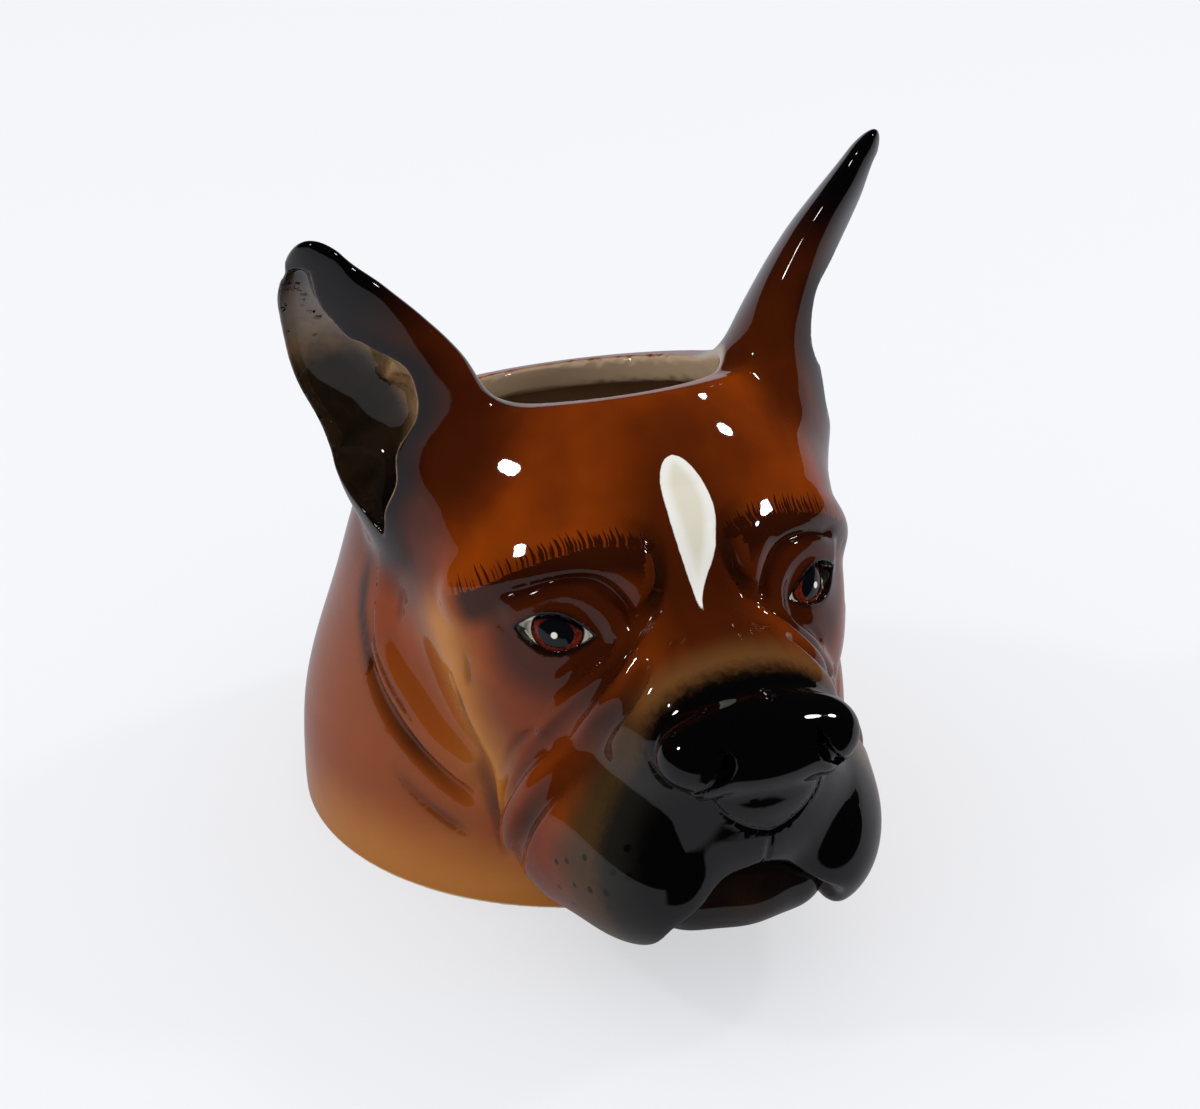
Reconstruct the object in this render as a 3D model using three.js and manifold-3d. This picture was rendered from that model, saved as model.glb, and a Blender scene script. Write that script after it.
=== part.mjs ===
// Boxer-head cachepot: a hollow slip-cast head open at the crown, a pressed lower jaw
// and two hollow ears, each its own casting. Millimetres, +Z up, the face looks along -Y.
// Origin: the centre of the flat base.
import * as THREE from 'three';
import { mergeVertices } from 'three/addons/utils/BufferGeometryUtils.js';
import Module from 'manifold-3d';

const wasm = await Module();
wasm.setup();

// Wall of the casting and the joint left between two castings
const WALL = 6;
const JOINT = 0.3;

// Neck: oval sections at these heights, half width, half depth and how far back the centre lies
const NECK_HEIGHT = [-20, 8, 40, 80, 125, 150, 170, 185];
const NECK_HALF_WIDTH = [97, 99, 97, 86, 76, 64, 52, 46];
const NECK_HALF_DEPTH = [92, 93.5, 92, 82, 68, 56, 50, 46];
const NECK_SET_BACK = [0, 0, 0, -1, -8, -14, -19, -21];

// Masses of the head: centre and the three half sizes; a pair is given for the left side
const SKULL = { centre: [0, -41, 117], half: [74, 71, 68] };
const CHEEK = { centre: [34, -70, 88], half: [32, 40, 42] };
const MUZZLE = { centre: [0, -120, 94], half: [39, 53, 32] };
const FLEW = { centre: [30, -128, 53], half: [26, 42, 31.5], toeOut: 8 };
const FLEW_BACK = { centre: [38, -104, 50], half: [24, 30, 30] };
const UPPER_LIP = { centre: [0, -147, 76], half: [33, 26, 26] };
const NOSE = { centre: [0, -161, 103], half: [30, 18, 15.5] };
const NOSE_WING = { centre: [20, -162.5, 103.5], half: [12.5, 13, 10.5] };
const NOSE_FOOT = { centre: [0, -162, 90], half: [19, 14, 14] };
const CHIN = { centre: [0, -128, 45], half: [33, 39, 21] };

// How softly one mass runs into the next
const BLEND = {
  cheek: 30, neck: 16, muzzle: 24, upperLip: 12, flewBack: 16, flew: 16, nose: 4, socket: 9, lid: 4,
};

// Mouth: a low arch cut up between the flews, which holds the jaw
const LIP_HEIGHT = 61.5;
const LIP_SLOPE = 0.6;
const LIP_HALF_WIDTH = 34;
const LIP_BACK = -98;

// Eyes: a ball with its lids in a socket under the brow
const SOCKET = { centre: [50, -112, 121], half: [18, 12, 11] };
const EYE_CENTRE = [38.2, -93.2, 116.2];
const EYE_RADIUS = 13;
const LID = 1.7;

// Folds of the face, left side: where each runs, how wide it is and how deep it is pressed in;
// a negative depth stands up as a roll
const FOLDS = [
  {
    width: 4, depth: 2.2,
    path: [[17, -101, 151], [12, -107, 141], [15, -112, 131], [26, -115, 121]],
  },
  {
    width: 4, depth: 2,
    path: [[15, -112, 130], [31, -122, 115], [48, -112, 90], [60, -102, 64], [62, -97, 51]],
  },
  {
    width: 5, depth: 4.6,
    path: [[20, -127, 121], [40, -129, 97], [55, -120, 72], [61, -110, 46], [58, -100, 32]],
  },
  {
    width: 4.5, depth: 4,
    path: [[75, -28, 128], [82, -14, 101], [85, -21, 79], [82, -41, 60], [61, -71, 39]],
  },
  {
    width: 4.5, depth: 2.8,
    path: [[70, -70, 93], [63, -75, 67], [56, -77, 35], [53, -80, 18]],
  },
  {
    width: 3.5, depth: 2.6,
    path: [[60, -86, 127], [43, -98, 136], [28, -106, 134], [24, -115, 120]],
  },
  {
    width: 6.5, depth: -3.4,
    path: [[68, -73, 121], [56, -87, 134], [37, -99, 141.5], [19, -107, 140]],
  },
  {
    width: 4.4, depth: -2.4,
    path: [[55, -94, 125], [42, -103, 132.5], [30, -110, 126], [27, -114, 119]],
  },
  {
    width: 5, depth: -2.6,
    path: [[72, -40, 126], [79, -25, 98], [80, -34, 76], [72, -56, 59], [64, -66, 52]],
  },
  {
    width: 28, depth: 3.4,
    path: [[0, -74, 176], [0, -88, 165], [0, -100, 153], [0, -112, 136]],
  },
];

// Opening: an oval hole in a rim that drops towards the back of the head
const RIM_FRONT_HEIGHT = 179;
const RIM_FRONT_AT = -64;
const RIM_DROP_DEG = 19;
const MOUTH_HALF_WIDTH = 44;
const MOUTH_HALF_DEPTH = 43;
const MOUTH_CENTRE_Y = -17;

// Ears: root centre, tip, the direction across the ear and its sections from root to tip
const EAR_ROOT = [62, -34, 144];
const EAR_ACROSS = [-0.46, -0.8, 0.4];
const LEFT_EAR_TIP = [98.5, -24, 238];
const RIGHT_EAR_TIP = [100.5, -24, 228];
const EAR_AT = [-0.5, -0.25, 0, 0.25, 0.5, 0.75, 0.92, 1.04];
const EAR_HALF_WIDTH = [10, 30, 37, 32, 27, 21.5, 13, 4];
const EAR_HALF_DEPTH = [7, 20, 23, 17, 12, 8, 5, 2.6];
const EAR_BEND_AT = [-0.3, 0, 0.3, 0.6, 0.85, 1.04];
const EAR_BEND_ACROSS = [0, -4, -8, -9.5, -7, -1];
const EAR_BEND_BACK = [0, -5, -9.5, -9, -4, 0];
const EAR_CUP_AT = [-0.04, 0.04, 0.12, 0.3, 0.5, 0.75, 0.9];
const EAR_CUP_HALF_WIDTH = [2, 4, 10, 20, 20, 15.5, 7];
const EAR_CUP_SHIFT = [-15, -13, -9, -3, -1.5, -1, 0];
const EAR_WALL = 5;

// Fineness of the modelled surfaces
const HEAD_SECTORS = 104;
const HEAD_RINGS = 54;
const INSIDE_SECTORS = 34;
const INSIDE_RINGS = 18;
const MOUTH_SIDES = 64;
const JAW_SECTORS = 32;
const JAW_RINGS = 18;
const EAR_SIDES = 28;
const EAR_STEPS = 18;
const OVERSHOOT = 60;

const rad = THREE.MathUtils.degToRad;
const dot = (a, b) => a[0] * b[0] + a[1] * b[1] + a[2] * b[2];

// Smooth curve through the stations, held level beyond both ends
function along(at, values, t) {
  const last = at.length - 1;
  const x = THREE.MathUtils.clamp(t, at[0], at[last]);
  let i = 0;
  while (i < last - 1 && x > at[i + 1]) i += 1;
  const slope = (k) => {
    const a = Math.max(k - 1, 0);
    const b = Math.min(k + 1, last);
    return (values[b] - values[a]) / (at[b] - at[a]);
  };
  const h = at[i + 1] - at[i];
  const u = (x - at[i]) / h;
  const v = 1 - u;
  return v * v * (1 + 2 * u) * values[i] + u * v * v * h * slope(i)
    + u * u * (3 - 2 * u) * values[i + 1] - u * u * v * h * slope(i + 1);
}

// Soft union and soft intersection of two fields; a field is below zero inside the clay
const join = (a, b, k) => Math.min(a, b) - Math.max(k - Math.abs(a - b), 0) ** 3 / (6 * k * k);
const meet = (a, b, k) => -join(-a, -b, k);

// Field of an oval in the plane and of an oval body in space, nearly a distance
function oval(u, v, a, b) {
  const k0 = Math.hypot(u / a, v / b) + 1e-9;
  const k1 = Math.hypot(u / (a * a), v / (b * b)) + 1e-9;
  return (k0 * (k0 - 1)) / k1;
}

function body(p, mass) {
  const turn = rad(mass.toeOut ?? 0);
  const x = p[0] - mass.centre[0];
  const y = p[1] - mass.centre[1];
  const q = [
    x * Math.cos(turn) - y * Math.sin(turn),
    x * Math.sin(turn) + y * Math.cos(turn),
    p[2] - mass.centre[2],
  ];
  const [a, b, c] = mass.half;
  const k0 = Math.hypot(q[0] / a, q[1] / b, q[2] / c) + 1e-9;
  const k1 = Math.hypot(q[0] / (a * a), q[1] / (b * b), q[2] / (c * c)) + 1e-9;
  return (k0 * (k0 - 1)) / k1;
}

// Distance from a point to a path of straight runs
function pathGap(p, path) {
  let best = Infinity;
  for (let i = 0; i < path.length - 1; i += 1) {
    const run = path[i + 1].map((c, k) => c - path[i][k]);
    const from = p.map((c, k) => c - path[i][k]);
    const t = THREE.MathUtils.clamp(dot(from, run) / dot(run, run), 0, 1);
    best = Math.min(best, Math.hypot(...from.map((c, k) => c - t * run[k])));
  }
  return best;
}

// How far a fold moves the skin: a bell that ends 2.2 widths from its path
function fold(p, { path, width, depth }) {
  const reach = pathGap(p, path) / (2.2 * width);
  return depth * Math.max(1 - reach ** 2, 0) ** 3;
}

// Neck and masses of the head, without ears and lower jaw, before base and rim are cut flat
function plainField(point) {
  const p = [Math.abs(point[0]), point[1], point[2]];
  const neck = oval(
    p[0],
    p[1] - along(NECK_HEIGHT, NECK_SET_BACK, p[2]),
    along(NECK_HEIGHT, NECK_HALF_WIDTH, p[2]),
    along(NECK_HEIGHT, NECK_HALF_DEPTH, p[2]),
  );
  const flews = join(body(p, FLEW), body(p, FLEW_BACK), BLEND.flewBack);
  let f = join(body(p, SKULL), body(p, CHEEK), BLEND.cheek);
  f = join(f, neck, BLEND.neck);
  f = join(f, body(p, MUZZLE), BLEND.muzzle);
  f = join(f, body(p, UPPER_LIP), BLEND.upperLip);
  f = join(f, flews, BLEND.flew);
  return Math.max(f, -OVERSHOOT / 2 - point[2], point[2] - RIM_FRONT_HEIGHT - OVERSHOOT / 2);
}

// The outside: folds, eyes and nose are modelled on the plain head
function faceField(point) {
  const p = [Math.abs(point[0]), point[1], point[2]];
  let f = plainField(point);
  for (const one of FOLDS) f += fold(p, one);
  f = meet(f, -body(p, SOCKET), BLEND.socket);
  f = join(f, Math.hypot(...p.map((c, k) => c - EYE_CENTRE[k])) - EYE_RADIUS - LID, BLEND.lid);
  for (const part of [NOSE, NOSE_WING, NOSE_FOOT]) f = join(f, body(p, part), BLEND.nose);
  return f;
}

// Closed surface round a centre: in each direction the outermost point where the field
// equals the level, so a negative level gives the skin moved inwards
function skin(field, level, centre, sectors, rings) {
  const positions = [];
  const index = [];
  const reach = (dir) => {
    const at = (r) => field(centre.map((c, k) => c + r * dir[k])) - level;
    let inner = 300;
    let outer = inner;
    while (at(inner) > 0 && inner > 1) {
      outer = inner;
      inner -= Math.max(0.6 * at(inner), 0.3);
    }
    for (let k = 0; k < 24; k += 1) {
      const middle = (inner + outer) / 2;
      if (at(middle) > 0) outer = middle;
      else inner = middle;
    }
    positions.push(...centre.map((c, k) => c + inner * dir[k]));
  };
  reach([0, 0, -1]);
  for (let j = 1; j < rings; j += 1) {
    const tilt = (Math.PI * j) / rings;
    for (let i = 0; i < sectors; i += 1) {
      const even = (2 * Math.PI * i) / sectors;
      const turn = even - 0.35 * Math.sin(even) - Math.PI / 2;
      reach([Math.sin(tilt) * Math.cos(turn), Math.sin(tilt) * Math.sin(turn), -Math.cos(tilt)]);
    }
  }
  reach([0, 0, 1]);
  const vertex = (j, i) => 1 + (j - 1) * sectors + (i % sectors);
  const top = positions.length / 3 - 1;
  for (let i = 0; i < sectors; i += 1) {
    index.push(0, vertex(1, i + 1), vertex(1, i));
    index.push(top, vertex(rings - 1, i), vertex(rings - 1, i + 1));
    for (let j = 1; j < rings - 1; j += 1) {
      index.push(vertex(j, i), vertex(j, i + 1), vertex(j + 1, i + 1));
      index.push(vertex(j, i), vertex(j + 1, i + 1), vertex(j + 1, i));
    }
  }
  return surface(positions, index);
}

function surface(positions, index) {
  const geometry = new THREE.BufferGeometry();
  geometry.setAttribute('position', new THREE.Float32BufferAttribute(positions, 3));
  geometry.setIndex(index);
  return geometry;
}

// Closed loft through rings of points, capped flat at both ends
function loft(rings) {
  const sides = rings[0].length;
  const positions = rings.flat().flatMap((p) => p.toArray());
  const index = [];
  const vertex = (j, i) => j * sides + (i % sides);
  for (let j = 0; j < rings.length - 1; j += 1) {
    for (let i = 0; i < sides; i += 1) {
      index.push(vertex(j, i), vertex(j, i + 1), vertex(j + 1, i + 1));
      index.push(vertex(j, i), vertex(j + 1, i + 1), vertex(j + 1, i));
    }
  }
  for (let i = 1; i < sides - 1; i += 1) {
    index.push(vertex(0, 0), vertex(0, i + 1), vertex(0, i));
    index.push(vertex(rings.length - 1, 0), vertex(rings.length - 1, i), vertex(rings.length - 1, i + 1));
  }
  return surface(positions, index);
}

// Solid from a closed indexed surface, and back to a geometry after joining and cutting
function solid(geometry) {
  const vertProperties = new Float32Array(geometry.attributes.position.array);
  const triVerts = new Uint32Array(geometry.index.array);
  return new wasm.Manifold(new wasm.Mesh({ numProp: 3, vertProperties, triVerts }));
}

function geometryOf(piece) {
  const mesh = piece.getMesh();
  const geometry = surface(Array.from(mesh.vertProperties), Array.from(mesh.triVerts));
  geometry.computeVertexNormals();
  return geometry;
}

// Upright oval post through the mouth of the pot, larger all round by the given margin
function mouthPost(margin) {
  const ring = (z) => Array.from({ length: MOUTH_SIDES }, (_, i) => {
    const a = (2 * Math.PI * i) / MOUTH_SIDES;
    return new THREE.Vector3(
      (MOUTH_HALF_WIDTH + margin) * Math.cos(a),
      MOUTH_CENTRE_Y + (MOUTH_HALF_DEPTH + margin) * Math.sin(a),
      z,
    );
  });
  return solid(loft([ring(SKULL.centre[2]), ring(RIM_FRONT_HEIGHT + OVERSHOOT)]));
}

// Air of the mouth, larger all round by the given margin: a pointed arch between the flews
function mouthArch(margin) {
  const side = LIP_HALF_WIDTH + margin;
  const peak = LIP_HEIGHT + margin * Math.hypot(1, LIP_SLOPE);
  const shoulder = peak - LIP_SLOPE * side;
  const ring = (y) => [
    new THREE.Vector3(-side, y, -OVERSHOOT),
    new THREE.Vector3(side, y, -OVERSHOOT),
    new THREE.Vector3(side, y, shoulder),
    new THREE.Vector3(0, y, peak),
    new THREE.Vector3(-side, y, shoulder),
  ];
  return solid(loft([ring(LIP_BACK + margin), ring(LIP_BACK - 2 * OVERSHOOT)]));
}

// Block under the base plane raised by the given amount, and block over the lowered rim plane
const BLOCK = 6 * OVERSHOOT;
const plainBox = () => {
  const box = new THREE.BoxGeometry(BLOCK, BLOCK, BLOCK);
  box.deleteAttribute('normal');
  box.deleteAttribute('uv');
  return mergeVertices(box);
};

const underBase = (raised) => solid(plainBox().translate(0, 0, raised - BLOCK / 2));

const overRim = (lowered) => solid(plainBox().translate(0, 0, BLOCK / 2 - lowered)
  .rotateX(-rad(RIM_DROP_DEG))
  .translate(0, RIM_FRONT_AT, RIM_FRONT_HEIGHT));

// Head and neck: outer skin, less the inside of the casting, the mouth and the opening
const HEAD_CENTRE = [0, -66, 82];
const headOutside = solid(skin(faceField, 0, HEAD_CENTRE, HEAD_SECTORS, HEAD_RINGS));
const headInside = solid(skin(plainField, -WALL, HEAD_CENTRE, INSIDE_SECTORS, INSIDE_RINGS));
const headClear = solid(skin(faceField, JOINT, HEAD_CENTRE, HEAD_SECTORS, HEAD_RINGS))
  .subtract(mouthArch(-JOINT));
const hollow = headInside.subtract(underBase(WALL)).subtract(overRim(WALL))
  .subtract(mouthArch(WALL)).add(mouthPost(0));
const head = headOutside.subtract(underBase(0)).subtract(overRim(0))
  .subtract(mouthArch(0)).subtract(hollow);

// Lower jaw: a rounded pad pressed up under the muzzle between the flews
const chinField = (p) => body(p, CHIN);
const jaw = solid(skin(chinField, 0, CHIN.centre, JAW_SECTORS, JAW_RINGS)).subtract(headClear);

// One ear: side is +1 for the left and -1 for the right
function makeEar(side, tip) {
  const root = new THREE.Vector3(side * EAR_ROOT[0], EAR_ROOT[1], EAR_ROOT[2]);
  const rise = new THREE.Vector3(side * tip[0], tip[1], tip[2]).sub(root);
  const length = rise.length();
  rise.normalize();
  const across = new THREE.Vector3(side * EAR_ACROSS[0], EAR_ACROSS[1], EAR_ACROSS[2]);
  across.addScaledVector(rise, -across.dot(rise)).normalize();
  const outward = new THREE.Vector3().crossVectors(across, rise).multiplyScalar(-side);
  const section = (t, halfWidth, halfDepth, shift, forward) => {
    const middle = root.clone().addScaledVector(rise, t * length)
      .addScaledVector(across, along(EAR_BEND_AT, EAR_BEND_ACROSS, t) + shift)
      .addScaledVector(outward, along(EAR_BEND_AT, EAR_BEND_BACK, t) + forward);
    return Array.from({ length: EAR_SIDES }, (_, i) => {
      const a = (side * 2 * Math.PI * i) / EAR_SIDES;
      return middle.clone().addScaledVector(across, halfWidth * Math.cos(a))
        .addScaledVector(outward, halfDepth * Math.sin(a));
    });
  };
  const steps = Array.from({ length: EAR_STEPS + 1 }, (_, j) => j / EAR_STEPS);
  const span = (at, s) => THREE.MathUtils.lerp(at[0], at[at.length - 1], s);
  const blade = solid(loft(steps.map((s) => {
    const t = span(EAR_AT, s);
    const halfWidth = along(EAR_AT, EAR_HALF_WIDTH, t);
    const halfDepth = along(EAR_AT, EAR_HALF_DEPTH, t);
    return section(t, halfWidth, halfDepth, 0, 0);
  })));
  const cup = solid(loft(steps.map((s) => {
    const t = span(EAR_CUP_AT, s);
    const halfWidth = along(EAR_CUP_AT, EAR_CUP_HALF_WIDTH, t);
    const halfDepth = 1.2 * along(EAR_AT, EAR_HALF_DEPTH, t);
    const shift = along(EAR_CUP_AT, EAR_CUP_SHIFT, t);
    const forward = halfDepth - along(EAR_AT, EAR_HALF_DEPTH, t) + EAR_WALL;
    return section(t, halfWidth, halfDepth, shift, forward);
  })));
  return blade.subtract(cup).subtract(headClear).subtract(mouthPost(JOINT));
}

// Glazed faience: brown body, darker jaw, ears shading to black
function glaze(colour, roughness) {
  return new THREE.MeshStandardMaterial({ color: colour, roughness, metalness: 0 });
}

function piece(name, shape, material) {
  const mesh = new THREE.Mesh(geometryOf(shape), material);
  mesh.name = name;
  return mesh;
}

const cachepot = new THREE.Group();
cachepot.add(
  piece('head_pot', head, glaze(0x7a3c12, 0.12)),
  piece('lower_jaw', jaw, glaze(0x16110f, 0.1)),
  piece('left_ear', makeEar(1, LEFT_EAR_TIP), glaze(0x5a2c10, 0.12)),
  piece('right_ear', makeEar(-1, RIGHT_EAR_TIP), glaze(0x2b241d, 0.12)),
);

export default cachepot;
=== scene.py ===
import bpy
import numpy as np
from mathutils import Matrix, Vector


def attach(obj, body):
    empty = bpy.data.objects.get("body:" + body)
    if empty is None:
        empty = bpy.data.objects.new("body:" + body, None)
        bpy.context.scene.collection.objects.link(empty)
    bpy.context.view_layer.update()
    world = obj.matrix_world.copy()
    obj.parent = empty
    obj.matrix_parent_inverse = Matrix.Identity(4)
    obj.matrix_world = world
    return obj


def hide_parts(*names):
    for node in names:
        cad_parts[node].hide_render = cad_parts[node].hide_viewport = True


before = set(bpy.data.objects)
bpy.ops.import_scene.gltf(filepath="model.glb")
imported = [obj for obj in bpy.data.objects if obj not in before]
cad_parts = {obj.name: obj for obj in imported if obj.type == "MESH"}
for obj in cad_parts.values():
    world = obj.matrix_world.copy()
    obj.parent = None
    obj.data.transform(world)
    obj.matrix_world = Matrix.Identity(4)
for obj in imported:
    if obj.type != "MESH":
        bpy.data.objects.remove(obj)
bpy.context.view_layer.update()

# The clay body, in millimetres. A shape is a field: a function of points that is below zero
# inside the clay and close to the distance from the surface elsewhere.
MM = 0.001
LEFT, RIGHT = 1, -1


def row(*values):
    """Numbers as a float32 array."""
    return np.array(values, np.float32)


def turn_z(degrees):
    """Rotation about Z that takes world offsets into the mass's own axes."""
    a = np.radians(degrees)
    return row(np.cos(a), -np.sin(a), 0, np.sin(a), np.cos(a), 0, 0, 0, 1).reshape(3, 3)


def body(p, centre, half, toe=0.0):
    """Field of an ellipsoid: k0 (k0 - 1) / k1 with k0 = |q/r| and k1 = |q/r^2|."""
    q = (p - row(*centre)) @ turn_z(toe).T
    r = row(*half)
    k0 = np.sqrt(((q / r) ** 2).sum(-1)) + 1e-9
    k1 = np.sqrt(((q / (r * r)) ** 2).sum(-1)) + 1e-9
    return k0 * (k0 - 1) / k1


def oval(u, v, a, b):
    """Field of an ellipse in the plane, the same formula in two axes."""
    k0 = np.sqrt((u / a) ** 2 + (v / b) ** 2) + 1e-9
    k1 = np.sqrt((u / a**2) ** 2 + (v / b**2) ** 2) + 1e-9
    return k0 * (k0 - 1) / k1


def join(a, b, k):
    """Smooth union: the smaller field, less the cube of what is left of k between them."""
    h = np.maximum(k - np.abs(a - b), 0) / k
    return np.minimum(a, b) - h**3 * k / 6


def meet(a, b, k):
    """Smooth intersection, the mirror image of the smooth union."""
    return -join(-a, -b, k)


def along(at, values, t):
    """Smooth curve through stations: cubic between neighbours, with averaged slopes."""
    at, values = np.array(at, float), np.array(values, float)
    slope = np.gradient(values, at)
    slope[1:-1] = (values[2:] - values[:-2]) / (at[2:] - at[:-2])
    t = np.clip(t, at[0], at[-1])
    i = np.clip(np.searchsorted(at, t) - 1, 0, len(at) - 2)
    h = at[i + 1] - at[i]
    u = (t - at[i]) / h
    v = 1 - u
    curve = v * v * (1 + 2 * u) * values[i] + u * v * v * h * slope[i]
    curve += u * u * (3 - 2 * u) * values[i + 1] - u * u * v * h * slope[i + 1]
    return curve.astype(np.float32)


def strand(points, steps=8):
    """Smooth path through a few points, each coordinate a smooth curve of the point's number."""
    points = np.array(points, float)
    number = np.arange(len(points), dtype=float)
    t = np.linspace(0, len(points) - 1, (len(points) - 1) * steps + 1)
    return np.stack([along(number, points[:, k], t) for k in range(3)], 1)


def to_strand(p, path):
    """Distance of each point to a path, and how far along it (0 to 1) the nearest spot lies."""
    a, d = path[:-1], path[1:] - path[:-1]
    best = np.full(len(p), 1e9, np.float32)
    where = np.zeros(len(p), np.float32)
    for k in range(len(a)):
        t = np.clip((p - a[k]) @ d[k] / (d[k] @ d[k]), 0, 1)
        gap = ((p - a[k] - t[:, None] * d[k]) ** 2).sum(1)
        nearer = gap < best
        best = np.where(nearer, gap, best)
        where = np.where(nearer, (k + t) / len(a), where)
    return np.sqrt(best), where


# Neck and skull: the hollow casting that everything else is luted to. The neck is an oval trunk
# that leans back from the base to the crown; skull, cheeks and muzzle are rounded masses on it.
NECK_AT = [-20, 8, 40, 80, 125, 150, 170, 185]
NECK_WIDE = [97, 99, 97, 86, 76, 64, 52, 46]
NECK_DEEP = [92, 93.5, 92, 82, 68, 56, 50, 46]
NECK_BACK = [0, 0, 0, -1, -8, -14, -19, -21]
# each mass: its centre and its half sizes
SKULL, CHEEK = ((0, -41, 117), (74, 71, 68)), ((34, -70, 88), (32, 40, 42))
MUZZLE, LIP_FRONT = ((0, -120, 94), (39, 53, 32)), ((0, -147, 76), (33, 26, 26))
FLEW, FLEW_BACK = ((30, -128, 53), (26, 42, 31.5)), ((38, -104, 50), (24, 30, 30))
FLEW_TOE = 8


def mirror(p):
    """Both sides laid over the left one: the distance from the middle plane, then y and z."""
    return np.stack([np.abs(p[:, 0]), p[:, 1], p[:, 2]], 1)


def masses(p):
    """Neck, skull, cheeks, muzzle and lips run softly into one another."""
    q, z = mirror(p), p[:, 2]
    wide, deep = along(NECK_AT, NECK_WIDE, z), along(NECK_AT, NECK_DEEP, z)
    neck = oval(q[:, 0], q[:, 1] - along(NECK_AT, NECK_BACK, z), wide, deep)
    neck = meet(neck, np.maximum(NECK_AT[0] - z, z - NECK_AT[-1]), 12)
    f = join(body(q, *SKULL), body(q, *CHEEK), 30)
    f = join(f, neck, 16)
    f = join(f, body(q, *MUZZLE), 24)
    f = join(f, body(q, *LIP_FRONT), 12)
    flews = join(body(q, *FLEW, FLEW_TOE), body(q, *FLEW_BACK), 16)
    return join(f, flews, 16)


# Face: the folds are drawn in the wet clay, deepest beside the muzzle. Each fold is a path with
# its width and depth; a crease is cut sharp, a roll stands up soft, and a wide shallow furrow
# runs up the middle of the forehead.
CREASES = [
    # beside the blaze, round the inner brow and on down into the muzzle fold
    ([(24, -98, 152), (17, -101, 151), (12.5, -105, 147), (12, -108, 140), (14, -111, 133),
      (19, -115, 127), (26, -115, 121)], 4.5, 2.6),
    ([(15, -112, 130), (24, -119, 122), (31, -122, 115), (40, -119, 103), (48, -112, 90),
      (56, -105, 75), (60, -102, 64), (62, -97, 51)], 4.5, 2.4),
    ([(25, -115, 122), (35, -113, 115), (42, -111, 107), (47, -109, 99)], 3.2, 1.3),
    ([(20, -127, 121), (32, -134, 110), (40, -129, 97), (48, -124, 83), (55, -120, 72),
      (60, -116, 60), (61, -110, 46), (58, -100, 32)], 6.5, 5.4),
    ([(51, -106, 88), (57, -98, 78), (61, -92, 66), (62, -88, 55)], 2.4, 1.0),
    # neck against the jowl, and the back edge of the cheek
    ([(75, -28, 128), (79, -17, 113), (82, -14, 101), (84, -15, 89), (85, -21, 79), (85, -30, 69),
      (82, -41, 60), (76, -52, 52), (69, -62, 45), (61, -71, 39)], 5.0, 4.6),
    ([(77, -26, 113), (80, -24, 96), (82, -27, 82), (81, -37, 72), (77, -47, 64),
      (72, -56, 57)], 2.6, 1.2),
    ([(86, -44, 46), (80, -54, 38), (71, -64, 31), (62, -73, 25)], 4.0, 1.4),
    ([(70, -70, 93), (68, -75, 84), (63, -75, 67), (59, -74, 49), (56, -77, 35),
      (53, -80, 18)], 4.0, 3.4),
    # over and under the eye
    ([(60, -86, 127), (52, -93, 132), (43, -98, 136), (34, -102, 137), (28, -106, 134),
      (23, -110, 127), (24, -115, 120)], 4.4, 2.0),
    ([(57, -95, 118), (63, -88, 119), (68, -80, 121)], 2.4, 0.8),
    ([(68, -79, 105), (67, -82, 91)], 2.2, 0.9),
    ([(76, -40, 110), (77, -35, 92)], 3.0, 1.0),
    # beside the bridge of the nose
    ([(13, -124, 125), (17, -133, 121), (21, -142, 117)], 3.0, 0.9),
]
ROLLS = [
    # brow, its inner end and the roll of lid under it
    ([(68, -73, 121), (63, -80, 128), (56, -87, 134), (47, -94, 138.5), (37, -99, 141.5),
      (26, -103.5, 142), (19, -107, 140)], 6.5, 3.4),
    ([(20, -108, 142), (18, -111, 134)], 6.5, 2.4),
    ([(55, -94, 125), (49, -99, 130), (42, -103, 132.5), (35, -107, 131), (30, -110, 126),
      (27, -114, 119)], 4.4, 2.4),
    ([(8.5, -107, 148), (8, -110, 140), (10, -114, 132), (15, -119, 125)], 2.6, 1.0),
    # folds beside the muzzle
    ([(19, -120, 126), (28, -121, 118), (37, -117, 109), (44, -113, 98), (51, -108, 86)], 3.2, 1.6),
    ([(24, -127, 118), (35, -127, 106), (43, -121, 93), (51, -115, 79), (57, -110, 67),
      (62, -104, 53), (62, -98, 42)], 4.0, 2.2),
    ([(16, -131, 121), (27, -139, 115), (36, -140, 104), (43, -136, 92)], 4.0, 1.6),
    # jowl along the neck groove
    ([(72, -40, 126), (76, -28, 112), (79, -25, 98), (80, -27, 86), (80, -34, 76), (77, -45, 68),
      (72, -56, 59), (64, -66, 52)], 5.0, 2.6),
    ([(68, -76, 90), (66, -82, 78), (62, -84, 64), (59, -84, 48), (57, -86, 34)], 5.5, 1.6),
]
FURROW = [([(0, -74, 176), (0, -88, 165), (0, -100, 153), (0, -112, 136)], 28.0, 3.4)]
REACH = 2.2


def relief(q, f, paths, sign, profile):
    """Moves the field along each path by its depth times a profile of distance over width."""
    f = f.copy()
    for points, width, depth in paths:
        path = strand(points).astype(np.float32)
        near = ((q > path.min(0) - REACH * width) & (q < path.max(0) + REACH * width)).all(1)
        if near.any():
            gap, where = to_strand(q[near], path)
            length = np.linalg.norm(np.diff(path, axis=0), axis=1).sum()
            ends = np.clip(np.minimum(where, 1 - where) * length / (2 * width), 0, 1)
            ends = ends * ends * (3 - 2 * ends) if sign > 0 else 1
            f[near] += sign * depth * ends * profile(gap / width)
    return f


def sharp(x):
    """Furrow that is steep at its banks and only just rounded at its bottom."""
    return np.maximum(1 - np.sqrt(x * x + 0.05), 0) ** 2 / 0.6


def soft(x):
    """Bell (1 - x^2 / REACH^2)^3 that reaches zero, with zero slope, at REACH widths."""
    return np.maximum(1 - (x / REACH) ** 2, 0) ** 3


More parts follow.
